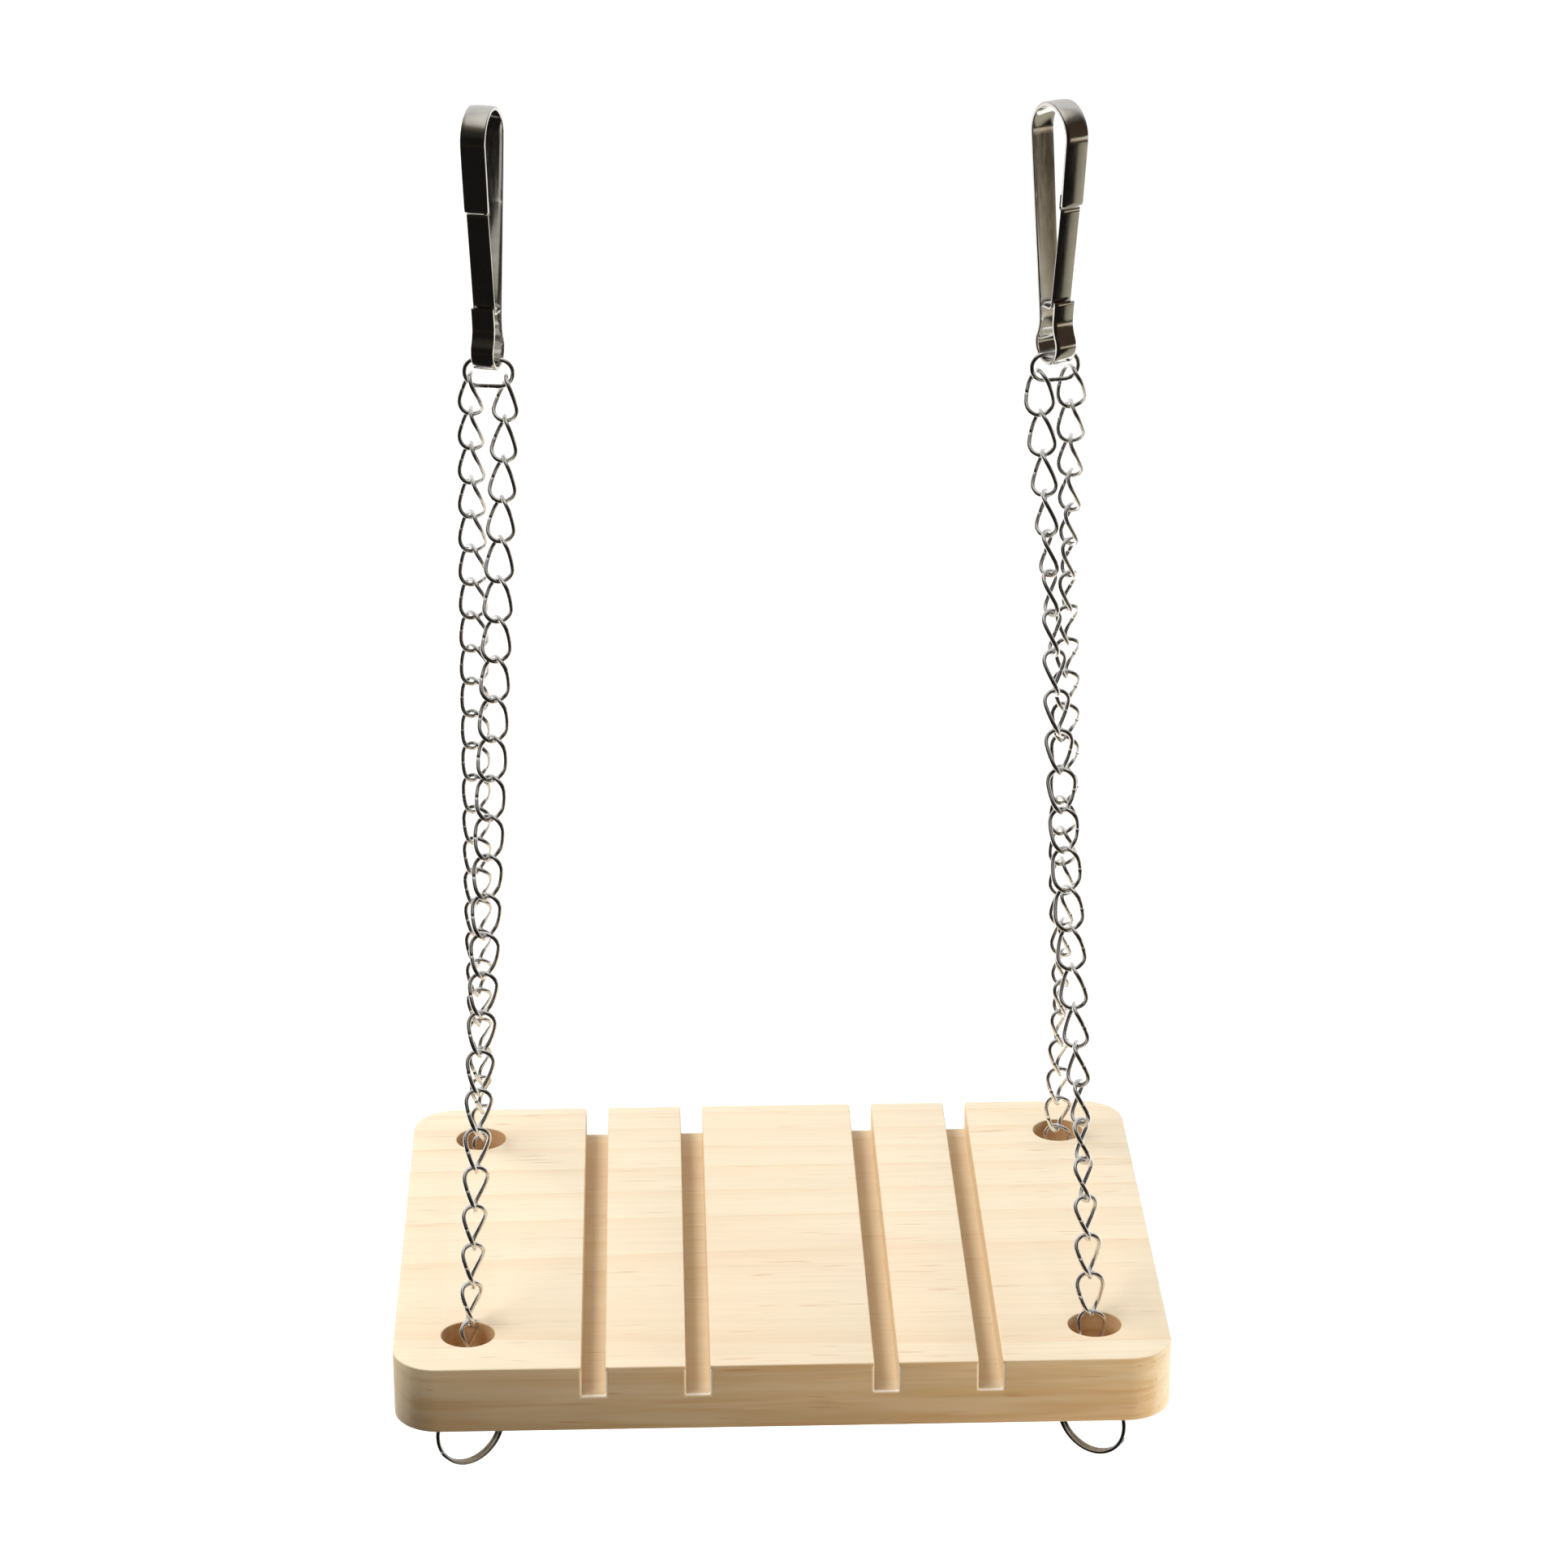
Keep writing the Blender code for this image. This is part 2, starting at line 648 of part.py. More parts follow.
clear_scene()
parts = new_collection("bird_platform_swing")
cutters = new_collection("cutters")
wood = new_material("pale_wood", (0.90, 0.76, 0.55), 0.6, 0.0)
chain_metal = new_material("chain_nickel", (0.72, 0.71, 0.69), 0.25, 1.0)
ring_metal = new_material("ring_nickel", (0.66, 0.65, 0.63), 0.25, 1.0)
clip_metal = new_material("clip_nickel", (0.62, 0.60, 0.57), 0.15, 1.0)
gate_metal = new_material("gate_nickel", (0.58, 0.56, 0.53), 0.2, 1.0)
build()
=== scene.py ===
"""The dressed look of the chain-hung platform swing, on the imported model.

Metres, +Z up, front towards -Y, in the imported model's own frame.
"""

import json
import math

import bmesh
import bpy
from mathutils import Matrix, Vector


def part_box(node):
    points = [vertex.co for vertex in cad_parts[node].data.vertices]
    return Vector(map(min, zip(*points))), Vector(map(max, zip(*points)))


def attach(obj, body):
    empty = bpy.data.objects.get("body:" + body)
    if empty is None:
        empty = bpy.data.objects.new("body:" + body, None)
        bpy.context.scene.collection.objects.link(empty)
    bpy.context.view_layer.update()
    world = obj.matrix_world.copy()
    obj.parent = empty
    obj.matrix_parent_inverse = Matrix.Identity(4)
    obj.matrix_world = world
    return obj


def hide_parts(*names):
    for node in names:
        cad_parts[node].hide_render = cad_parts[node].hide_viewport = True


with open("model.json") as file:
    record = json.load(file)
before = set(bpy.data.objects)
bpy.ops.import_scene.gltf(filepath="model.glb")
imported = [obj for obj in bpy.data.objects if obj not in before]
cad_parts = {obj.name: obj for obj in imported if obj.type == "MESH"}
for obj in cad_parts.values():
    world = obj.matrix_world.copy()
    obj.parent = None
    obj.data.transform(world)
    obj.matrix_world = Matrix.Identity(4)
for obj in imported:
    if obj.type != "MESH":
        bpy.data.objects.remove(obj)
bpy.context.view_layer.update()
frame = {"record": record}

MM = 0.001
UP = Vector((0.0, 0.0, 1.0))
SIDES = {"left": -1.0, "right": 1.0}
ENDS = {"front": -1.0, "back": 1.0}
QUARTERS = ((1, 1), (-1, 1), (-1, -1), (1, -1))
QUARTER_TURN = math.pi / 2
HALF_TURN_DEGREES = 180.0

# Board
BOARD_WIDTH = 150.0 * MM
BOARD_DEPTH = 115.0 * MM
BOARD_THICKNESS = 13.5 * MM
CORNER_RADIUS = 9.0 * MM
CORNER_SEGMENTS = 14
HOLE_DIAMETER = 10.3 * MM
HOLE_INSET = 14.3 * MM
HOLE_SEGMENTS = 72
GROOVE_WIDTH = 4.6 * MM
GROOVE_DEPTH = 6.1 * MM
GROOVE_END_EASING = 0.4 * MM
GROOVE_PLACES = (-36.4 * MM, -16.4 * MM, 19.6 * MM, 39.6 * MM)
EDGE_ROUND = 0.45 * MM
EDGE_SEGMENTS = 3
EDGE_ANGLE = math.radians(40.0)

# Chain
WIRE = 0.45 * MM
LINK_END = 2.6 * MM
LINK_TWIST = math.radians(-90.0)
CHAIN_HALF_TURNS = {"left": 1, "right": -2}
LINKS_PER_LEG = 24
LINKS_PER_RUN = 4
SADDLE_HALF_LENGTH = 4.65 * MM
SADDLE_SHARE = 0.5
SADDLE_CORNER = math.radians(18.0)
SADDLE_CLEARANCE = 0.25 * MM
HOLE_LEAN = math.radians(7.0)
HOLE_LINK_HALF_LENGTH = 4.229 * MM
LINK_POINTS = 40
WIRE_SIDES = 10
SEAM_HALF = 0.10 * MM
SEAM_DIP = 0.80

# Split rings
RING_RADIUS = 7.46 * MM
RING_PITCH = 0.9 * MM
RING_HALF_WIDTH = 0.43 * MM
RING_HALF_THICKNESS = 0.42 * MM
RING_SPLIT = math.radians(138.0)
RING_END_SPACE = math.radians(40.0)
RING_END_TAPER = 0.8
RING_CROSSING = math.radians(50.0)
RING_YAW = math.radians(37.0)
RING_LINK_CLEARANCE = 0.30 * MM
RING_KICK = {"left": 0.4 * MM, "right": 0.0}
RING_KICK_SPAN = math.radians(24.0)
RING_STEP = math.radians(5.0)
RING_SIDES = 12

# Spring clips and gates
CLIP_HEIGHT = 50.5 * MM
CLIP_STRIP = 0.8 * MM
DOME_INNER_RADIUS = 5.5 * MM
EYE_INNER_RADIUS = 3.2 * MM
WAIST_INNER_DEPTH = 4.0 * MM
WAIST_FILLET = 6.0 * MM
DOME_WIDTH = 4.8 * MM
WAIST_WIDTH = 4.4 * MM
EYE_WIDTH = 4.4 * MM
NOSE_LENGTH = 19.0 * MM
TONGUE_LENGTH = 11.8 * MM
CLIP_TURN = {"left": math.radians(-16.0), "right": math.radians(29.0)}
STRIP_ROUND = 0.22 * MM
STRIP_ROUND_STEPS = 3
STRIP_CROWN = 0.12 * MM
STRIP_FACE_STEPS = 6
STRIP_STEP = 0.8 * MM
GATE_STRIP = 0.5 * MM
GATE_WIDTH = 4.3 * MM
GATE_TAB_WIDTH = 1.8 * MM
GATE_TAB_REACH = 0.6 * MM
GATE_BEND = 1.2 * MM
GATE_TUCK = 1.5 * MM
GATE_OVERLAP = 2.2 * MM
GATE_STEP = 0.5 * MM
GATE_STEP_HEIGHT = 0.5 * MM
GATE_STEP_POINTS = 6
GATE_CLEARANCE = 0.30 * MM
ARC_STEP = math.radians(5.0)

# Angles above which an edge is shaded as a sharp one
BOARD_SHARP = math.radians(35.0)
METAL_SHARP = math.radians(40.0)

# Wood: noises, then ramp stops as (position, share or tone), tones that are mixed in, tints that multiply
GROWTH_RINGS = {"Scale": 62.0, "Distortion": 5.0, "Detail": 2.5, "Detail Scale": 0.35}
PITH = {"scale": (0.10, 1.0, 1.0), "place": (0.0, 0.031, 0.325), "turn": (0.0, 0.012, 0.03)}
PATCHES = {"scale": (10.0, 60.0, 240.0), "detail": 2.0, "roughness": 0.5, "distortion": 0.4}
FIBRES = {"scale": (26.0, 1300.0, 1300.0), "detail": 3.0, "roughness": 0.6}
FLECKS = {"scale": (75.0, 1300.0, 1300.0), "detail": 1.0, "roughness": 0.5}
STAINS = {"scale": (22.0, 60.0, 330.0), "detail": 2.0, "roughness": 0.55, "distortion": 0.3}
GROWTH_TONES = [
    (0.0, (0.885, 0.765, 0.575)), (0.55, (0.88, 0.755, 0.565)),
    (0.86, (0.865, 0.725, 0.53)), (1.0, (0.84, 0.68, 0.48))]
PATCH_SHARE = [(0.42, 0.0), (0.75, 0.6)]
FIBRE_SHADE = [(0.28, 0.92), (0.72, 1.0)]
FIBRE_ROUGHNESS = [(0.2, 0.72), (0.8, 0.56)]
FLECK_SHARE = [(0.68, 0.0), (0.78, 0.6)]
STAIN_SHARE = [(0.40, 0.0), (0.62, 1.0)]
LONG_FACE_SHARE = [(0.75, 0.0), (0.85, 1.0)]
END_GRAIN_SHARE = [(0.25, 0.0), (0.75, 1.0)]
PATCH_TONE = (0.86, 0.68, 0.50)
FLECK_TONE = (0.62, 0.40, 0.26)
# Painted light: the eased groove mouths are painted pale, where light catches them
MOUTH_PAINTED_LIGHT = (0.97, 0.88, 0.74)
# Darker end grain on the hole walls, deepened by painted shade in the recess
HOLE_GRAIN_AND_SHADE_TINT = (0.90, 0.76, 0.64)
# Painted shade on the groove floors
GROOVE_PAINTED_SHADE = (0.74, 0.69, 0.62)
# Painted shade: the long faces are darkened and warmed
LONG_FACE_PAINTED_SHADE = (0.99, 0.95, 0.86)
STAIN_TINT = (0.90, 0.82, 0.70)
END_GRAIN_TINT = (0.98, 0.91, 0.80)
WOOD_GLOSS = 0.3
FIBRE_RELIEF = 0.16
FIBRE_DEPTH = 0.15 * MM
LEVEL_LIMIT = 0.5
MOUTH_LIMIT = 0.93
MOUTH_REACH = 1.2 * GROOVE_END_EASING
MOUTH_MARGIN = 2 * EDGE_ROUND

# Nickel plate: even marks on wire, and marks along the upright strips of the clips and gates
WIRE_MARKS = (900.0, 900.0, 900.0)
STRIP_MARKS = (1500.0, 1500.0, 120.0)
# The chain's plate is brightened above the other nickel parts, as painted light for the lamps that the metal
# does not mirror
CHAIN_PLATE_BRIGHTENED = {
    "dull": (0.72, 0.715, 0.70), "bright": (0.92, 0.91, 0.89), "roughness": 0.22,
    "marks": WIRE_MARKS, "relief": 0.08}
# The rings' plate is darkened well below the other nickel parts, as painted shade
RING_PLATE_DARKENED = {
    "dull": (0.36, 0.355, 0.345), "bright": (0.50, 0.49, 0.475), "roughness": 0.15,
    "marks": WIRE_MARKS, "relief": 0.08}
CLIP_PLATE = {
    "dull": (0.56, 0.54, 0.50), "bright": (0.68, 0.66, 0.62), "roughness": 0.07,
    "marks": STRIP_MARKS, "relief": 0.02}
GATE_PLATE = {
    "dull": (0.54, 0.52, 0.48), "bright": (0.66, 0.64, 0.60), "roughness": 0.08,
    "marks": STRIP_MARKS, "relief": 0.02}
CLOUDS = {"scale": (260.0, 260.0, 260.0), "detail": 3.0, "roughness": 0.6}
CLOUD_DULL = 0.3
CLOUD_BRIGHT = 0.7
MARK_DETAIL = 3.0
MARK_GRAIN = 0.65
MARK_SMOOTH = 0.3
MARK_ROUGH = 0.75
MARK_ROUGHNESS = 0.10
MARK_DEPTH = 0.02 * MM

# Camera, solved against the photograph: place from the middle of the board's top, then its aim
IMAGE_SIZE = 1932
FOCAL_PIXELS = 5824.0
SENSOR = 36.0
CAMERA_PLACE = Vector((-22.4, -855.1, 434.7)) * MM
CAMERA_DOWN = math.radians(21.580)
CAMERA_YAW = math.radians(1.633)
CAMERA_ROLL = math.radians(-0.178)
CAMERA_NEAR = 0.01
CAMERA_FAR = 50.0

# Floor
FLOOR_HEIGHT = -0.62
FLOOR_FRONT = 0.12
FLOOR_BACK = 9.0
FLOOR_HALF_WIDTH = 6.0
FLOOR_TONE = (0.80, 0.80, 0.80, 1.0)
FLOOR_ROUGHNESS = 0.9
FLOOR_GLOW_TONE = (1.0, 1.0, 1.0, 1.0)
FLOOR_GLOW = 0.75

# Lights: places in metres, powers in watts
LIGHTS = {
    "key": {"place": (-0.66, -0.08, 1.05), "size": (1.3, 0.45), "power": 18.5, "color": (1.0, 0.975, 0.94)},
    "fill": {"place": (0.22, -0.22, -0.31), "size": (0.12, 0.12), "power": 0.45, "color": (1.0, 0.80, 0.58)},
    "side": {"place": (0.6, 0.05, -0.24), "size": (0.3, 0.3), "power": 2.4, "color": (0.48, 0.76, 1.0)}}

# Surroundings that the metal mirrors: stops over a direction's Y or Z, from -1 to 1
BEHIND = [(-0.05, 0.0), (0.5, 0.85)]
ABOVE = [
    (0.2, (0.012, 0.011, 0.010)), (0.6, (0.04, 0.037, 0.032)), (0.75, (0.15, 0.138, 0.12)),
    (0.85, (0.62, 0.59, 0.55)), (0.95, (0.92, 0.90, 0.87))]
LOW_SHARE = [(-0.36, 1.0), (-0.32, 0.0)]
BEIGE_SHARE = [(-0.27, 0.0), (-0.21, 1.0), (-0.108, 1.0), (-0.092, 0.0)]
BACKDROP_TONE = (1.0, 1.0, 1.0)

# Surroundings on the right: stops over the bearing in degrees, 0 at the front and 90 at the right
LOW_WALL = [(64.5, (0.0, 0.0, 0.0)), (67.0, (0.30, 0.28, 0.22)), (75.0, (0.50, 0.47, 0.38))]
BROWN_WALL = [(40.0, (0.0, 0.0, 0.0)), (50.0, (0.06, 0.042, 0.031))]
BEIGE_WALL = [
    (48.0, (0.02, 0.016, 0.012)), (52.0, (0.56, 0.48, 0.35)), (66.0, (0.68, 0.60, 0.46)),
    (76.0, (0.80, 0.78, 0.74))]

# Places: the joints and the board's top come from the frame
joints = {joint["name"]: joint for joint in frame["record"]["behaviour"]["joints"]}
board_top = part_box("board")[1].z
board_bottom = board_top - BOARD_THICKNESS
eye_floor = -(CLIP_HEIGHT - 2 * CLIP_STRIP)


def joint_place(name):
    return Vector(joints[name]["pos_m"])


saddle_middle = {"left": joint_place("sway"), "right": joint_place("right_sway")}


def eased(share):
    """A share held between 0 and 1, which starts and ends gently."""
    share = min(max(share, 0.0), 1.0)
    return share * share * (3 - 2 * share)


# Shader nodes

def new_material(name):
    material = bpy.data.materials.new(name)
    material.use_nodes = True
    tree = material.node_tree
    return material, tree, tree.nodes["Principled BSDF"]


def mapped(tree, scale, place=(0.0, 0.0, 0.0), turn=(0.0, 0.0, 0.0)):
    """Object coordinates, scaled along each axis."""
    coordinates = tree.nodes.new("ShaderNodeTexCoord")
    mapping = tree.nodes.new("ShaderNodeMapping")
    mapping.inputs["Location"].default_value = place
    mapping.inputs["Rotation"].default_value = turn
    mapping.inputs["Scale"].default_value = scale
    tree.links.new(coordinates.outputs["Object"], mapping.inputs["Vector"])
    return mapping.outputs["Vector"]


def noise(tree, scale, detail, roughness, distortion=0.0):
    """A noise with so many waves to the metre along each axis."""
    texture = tree.nodes.new("ShaderNodeTexNoise")
    texture.inputs["Scale"].default_value = 1.0
    texture.inputs["Detail"].default_value = detail
    texture.inputs["Roughness"].default_value = roughness
    texture.inputs["Distortion"].default_value = distortion
    tree.links.new(mapped(tree, scale), texture.inputs["Vector"])
    return texture.outputs["Fac"]


def ramp(tree, value, stops):
    """A colour ramp from (position, colour) stops; a single number stands for a grey."""
    node = tree.nodes.new("ShaderNodeValToRGB")
    elements = node.color_ramp.elements
    # New elements start half way along, between the ramp's own two, and then take their stops' places
    while len(elements) < len(stops):
        elements.new(0.5)
    for element, (position, color) in zip(elements, stops):
        element.position = position
        element.color = (color, color, color, 1.0) if isinstance(color, float) else (*color, 1.0)
    tree.links.new(value, node.inputs["Fac"])
    return node.outputs["Color"]


def mix(tree, kind, share, first, second):
    """Two colours mixed; the share is a socket or a number, and each colour a socket or a tone."""
    node = tree.nodes.new("ShaderNodeMix")
    node.data_type = "RGBA"
    node.blend_type = kind
    if isinstance(share, float):
        node.inputs["Factor"].default_value = share
    else:
        tree.links.new(share, node.inputs["Factor"])
    for name, color in (("A", first), ("B", second)):
        entry = [socket for socket in node.inputs if socket.name == name and socket.type == "RGBA"][0]
        if isinstance(color, tuple):
            entry.default_value = (*color, 1.0)
        else:
            tree.links.new(color, entry)
    return [socket for socket in node.outputs if socket.type == "RGBA"][0]


def maths(tree, operation, *values):
    """A maths node; each value is a socket or a number."""
    node = tree.nodes.new("ShaderNodeMath")
    node.operation = operation
    for socket, value in zip(node.inputs, values):
        if isinstance(value, float):
            socket.default_value = value
        else:
            tree.links.new(value, socket)
    return node.outputs["Value"]


def split(tree, vector):
    node = tree.nodes.new("ShaderNodeSeparateXYZ")
    tree.links.new(vector, node.inputs["Vector"])
    return node.outputs


def place_of(tree):
    """The X, Y and Z of a point, in the object's own frame."""
    coordinates = tree.nodes.new("ShaderNodeTexCoord")
    return split(tree, coordinates.outputs["Object"])


def facing_of(tree):
    """The X, Y and Z of a face's normal, in the object's own frame."""
    coordinates = tree.nodes.new("ShaderNodeTexCoord")
    return split(tree, coordinates.outputs["Normal"])


def bump(tree, shader, height, strength, distance):
    node = tree.nodes.new("ShaderNodeBump")
    node.inputs["Strength"].default_value = strength
    node.inputs["Distance"].default_value = distance
    tree.links.new(height, node.inputs["Height"])
    tree.links.new(node.outputs["Normal"], shader.inputs["Normal"])


# Wood

def hole_walls(tree):
    """1 on the walls of the holes, where the drill leaves rough end grain and a painted shade darkens the
    recess, and 0 elsewhere.
    """
    place = place_of(tree)
    facing = facing_of(tree)
    inside = maths(tree, "LESS_THAN", maths(tree, "ABSOLUTE", facing["Z"]), LEVEL_LIMIT)
    for axis, reach in (("X", BOARD_WIDTH / 2), ("Y", BOARD_DEPTH / 2)):
        distance = maths(tree, "ABSOLUTE", place[axis])
        inner = maths(tree, "GREATER_THAN", distance, reach - HOLE_INSET - HOLE_DIAMETER)
        outer = maths(tree, "LESS_THAN", distance, reach - HOLE_INSET + HOLE_DIAMETER)
        inside = maths(tree, "MULTIPLY", inside, maths(tree, "MULTIPLY", inner, outer))
    return inside


def groove_floors(tree):
    """1 on the milled floors of the grooves, which a painted shade darkens, 0 elsewhere."""
    place = place_of(tree)
    facing = facing_of(tree)
    level = maths(tree, "GREATER_THAN", facing["Z"], LEVEL_LIMIT)
    deep = maths(tree, "LESS_THAN", place["Z"], board_top - GROOVE_DEPTH / 2)
    return maths(tree, "MULTIPLY", level, deep)


def painted_mouth_light(tree):
    """1 on the eased edges where the grooves run out through the long faces, which are painted pale as light
    catching them.
    """
    place = place_of(tree)
    facing = facing_of(tree)
    distance = maths(tree, "ABSOLUTE", place["Y"])
    at_face = maths(tree, "GREATER_THAN", distance, BOARD_DEPTH / 2 - MOUTH_REACH)
    slanted = maths(tree, "LESS_THAN", maths(tree, "ABSOLUTE", facing["Y"]), MOUTH_LIMIT)
    below_top = maths(tree, "LESS_THAN", place["Z"], board_top - MOUTH_MARGIN)
    above_bottom = maths(tree, "GREATER_THAN", place["Z"], board_bottom + MOUTH_MARGIN)
    between = maths(tree, "MULTIPLY", below_top, above_bottom)
    return maths(tree, "MULTIPLY", maths(tree, "MULTIPLY", at_face, slanted), between)


def facing_share(tree, axis, stops):
    """A share that grows as a face turns towards one axis, either way along it."""
    facing = facing_of(tree)
    return ramp(tree, maths(tree, "ABSOLUTE", facing[axis]), stops)


def wood_material():
    """Bare sanded wood, its grain along X: growth rings about a far pith, fibres and short flecks; painted
    shade in the holes (with their end grain), the grooves and on the long faces, and painted light on the
    groove mouths.
    """
    material, tree, shader = new_material("sanded_pale_wood")
    growth = tree.nodes.new("ShaderNodeTexWave")
    growth.wave_type = "RINGS"
    growth.rings_direction = "X"
    growth.wave_profile = "SAW"
    for name, value in GROWTH_RINGS.items():
        growth.inputs[name].default_value = value
    tree.links.new(mapped(tree, **PITH), growth.inputs["Vector"])
    color = ramp(tree, growth.outputs["Fac"], GROWTH_TONES)
    patches = ramp(tree, noise(tree, **PATCHES), PATCH_SHARE)
    color = mix(tree, "MIX", patches, color, PATCH_TONE)
    fibre = noise(tree, **FIBRES)
    color = mix(tree, "MULTIPLY", 1.0, color, ramp(tree, fibre, FIBRE_SHADE))
    flecks = ramp(tree, noise(tree, **FLECKS), FLECK_SHARE)
    color = mix(tree, "MIX", flecks, color, FLECK_TONE)
    # Hole walls: darker end grain, and painted shade in the recess
    color = mix(tree, "MULTIPLY", hole_walls(tree), color, HOLE_GRAIN_AND_SHADE_TINT)
    # Groove floors: painted shade
    color = mix(tree, "MULTIPLY", groove_floors(tree), color, GROOVE_PAINTED_SHADE)
    long_faces = facing_share(tree, "Y", LONG_FACE_SHARE)
    # Long faces: painted shade, darkened and warmed
    color = mix(tree, "MULTIPLY", long_faces, color, LONG_FACE_PAINTED_SHADE)
    stains = ramp(tree, noise(tree, **STAINS), STAIN_SHARE)
    color = mix(tree, "MULTIPLY", maths(tree, "MULTIPLY", long_faces, stains), color, STAIN_TINT)
    end_grain = facing_share(tree, "X", END_GRAIN_SHARE)
    color = mix(tree, "MULTIPLY", end_grain, color, END_GRAIN_TINT)
    # Groove mouths: painted light, pale where light catches the eased edges
    color = mix(tree, "MIX", painted_mouth_light(tree), color, MOUTH_PAINTED_LIGHT)
    tree.links.new(color, shader.inputs["Base Color"])
    tree.links.new(ramp(tree, fibre, FIBRE_ROUGHNESS), shader.inputs["Roughness"])
    shader.inputs["Specular IOR Level"].default_value = WOOD_GLOSS
    bump(tree, shader, fibre, FIBRE_RELIEF, FIBRE_DEPTH)
    return material


# Nickel plate

def metal_material(name, dull, bright, roughness, marks, relief):
    """Nickel plate: slow changes of tone, and fine drawing marks that roughen it along the given scales."""
    material, tree, shader = new_material(name)
    tone = ramp(tree, noise(tree, **CLOUDS), [(CLOUD_DULL, dull), (CLOUD_BRIGHT, bright)])
    tree.links.new(tone, shader.inputs["Base Color"])
    drawn = noise(tree, marks, MARK_DETAIL, MARK_GRAIN)
    rough = ramp(tree, drawn, [(MARK_SMOOTH, roughness), (MARK_ROUGH, roughness + MARK_ROUGHNESS)])
    tree.links.new(rough, shader.inputs["Roughness"])
    shader.inputs["Metallic"].default_value = 1.0
    bump(tree, shader, drawn, relief, MARK_DEPTH)
    return material


wood = wood_material()
# Painted light in the chain's bright plate
chain_metal = metal_material("chain_plate_with_painted_light", **CHAIN_PLATE_BRIGHTENED)
# Painted shade in the rings' dark plate
ring_metal = metal_material("ring_plate_with_painted_shade", **RING_PLATE_DARKENED)
clip_metal = metal_material("clip_plate", **CLIP_PLATE)
gate_metal = metal_material("gate_plate", **GATE_PLATE)


# Mesh helpers

def added(name, data):
    item = bpy.data.objects.new(name, data)
    bpy.context.scene.collection.objects.link(item)
    return item


def dressed(name, mesh, material, body, node, sharp=METAL_SHARP):
    """A visual piece: it moves with its body, stands in for its node, which it hides, and takes the given
    material.
    """
    item = added(name, mesh)
    mesh.materials.clear()
    mesh.materials.append(material)
    mesh.shade_smooth()
    mesh.set_sharp_from_angle(angle=sharp)
    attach(item, body)
    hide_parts(node)


def sweep(shape, points, outwards, sections, closed):
    """Draw sections along a line into a bmesh: each section is (out, side) pairs about its point."""
    count = len(points)
    rows = []
    for i, point in enumerate(points):
        before = points[i - 1] if closed or i > 0 else point
        after = points[(i + 1) % count] if closed or i < count - 1 else point
        along = (after - before).normalized()
        out = (outwards[i] - along * outwards[i].dot(along)).normalized()
        side = along.cross(out)
        section = sections[i]
        rows.append([shape.verts.new(point + out * outward + side * aside) for outward, aside in section])
    for i in range(count if closed else count - 1):
        row = rows[i]
        other = rows[(i + 1) % count]
        for j in range(len(row)):
            k = (j + 1) % len(row)
            shape.faces.new((row[j], row[k], other[k], other[j]))
    if not closed:
        shape.faces.new(rows[0][::-1])
        shape.faces.new(rows[-1])


def finished(name, shape):
    """The mesh of a bmesh, with its faces turned outwards."""
    bmesh.ops.recalc_face_normals(shape, faces=shape.faces)
    mesh = bpy.data.meshes.new(name)
    shape.to_mesh(mesh)
    shape.free()
    return mesh


def oval(half_out, half_side, sides):
    angles = [2 * math.pi * i / sides for i in range(sides)]
    return [(half_out * math.cos(angle), half_side * math.sin(angle)) for angle in angles]


def prism(outline, low, high):
    """An upright solid over an outline of (x, y) points."""
    shape = bmesh.new()
    floor = [shape.verts.new((x, y, low)) for x, y in outline]
    lid = [shape.verts.new((x, y, high)) for x, y in outline]
    shape.faces.new(floor[::-1])
    shape.faces.new(lid)
    for i in range(len(outline)):
        k = (i + 1) % len(outline)
        shape.faces.new((floor[i], floor[k], lid[k], lid[i]))
    return added("prism", finished("prism", shape))


def rectangle(left, right, front, back):
    return [(left, front), (right, front), (right, back), (left, back)]


def cut(item, cutter):
    modifier = item.modifiers.new("cut", "BOOLEAN")
    modifier.operation = "DIFFERENCE"
    modifier.object = cutter


def evaluated(item):
    """The mesh of an object with its modifiers."""
    graph = bpy.context.evaluated_depsgraph_get()
    return bpy.data.meshes.new_from_object(item.evaluated_get(graph))


# Board

def board_outline():
    """The board's outline as (x, y) points, with a fine arc at each corner."""
    outline = []
    for quarter, (side, end) in enumerate(QUARTERS):
        x = side * (BOARD_WIDTH / 2 - CORNER_RADIUS)
        y = end * (BOARD_DEPTH / 2 - CORNER_RADIUS)
        for step in range(CORNER_SEGMENTS + 1):
            angle = (quarter + step / CORNER_SEGMENTS) * QUARTER_TURN
            outline.append((x + CORNER_RADIUS * math.cos(angle), y + CORNER_RADIUS * math.sin(angle)))
    return outline


def groove_mouth(x, end):
    """A cutter that eases a groove's edges at a long face: a box that widens through the face."""
    face = end * BOARD_DEPTH / 2
    half = GROOVE_WIDTH / 2
    corners = rectangle(x - half, x + half, face - end * GROOVE_END_EASING, face + end * GROOVE_END_EASING)
    item = prism(corners if end > 0 else corners[::-1], board_top - GROOVE_DEPTH, board_top + GROOVE_DEPTH)
    for corner in item.data.vertices:
        if (corner.co.y - face) * end > 0:
            corner.co.x += math.copysign(2 * GROOVE_END_EASING, corner.co.x - x)
            corner.co.z += math.copysign(2 * GROOVE_END_EASING, corner.co.z - board_top)
    return item


def groove_cutters():
    """For each groove, a box that runs past both long faces, and a mouth at each end."""
    half = GROOVE_WIDTH / 2
    cutters = []
    for x in GROOVE_PLACES:
        corners = rectangle(x - half, x + half, -BOARD_DEPTH, BOARD_DEPTH)
        cutters.append(prism(corners, board_top - GROOVE_DEPTH, board_top + GROOVE_DEPTH))
        for end in ENDS.values():
            cutters.append(groove_mouth(x, end))
    return cutters


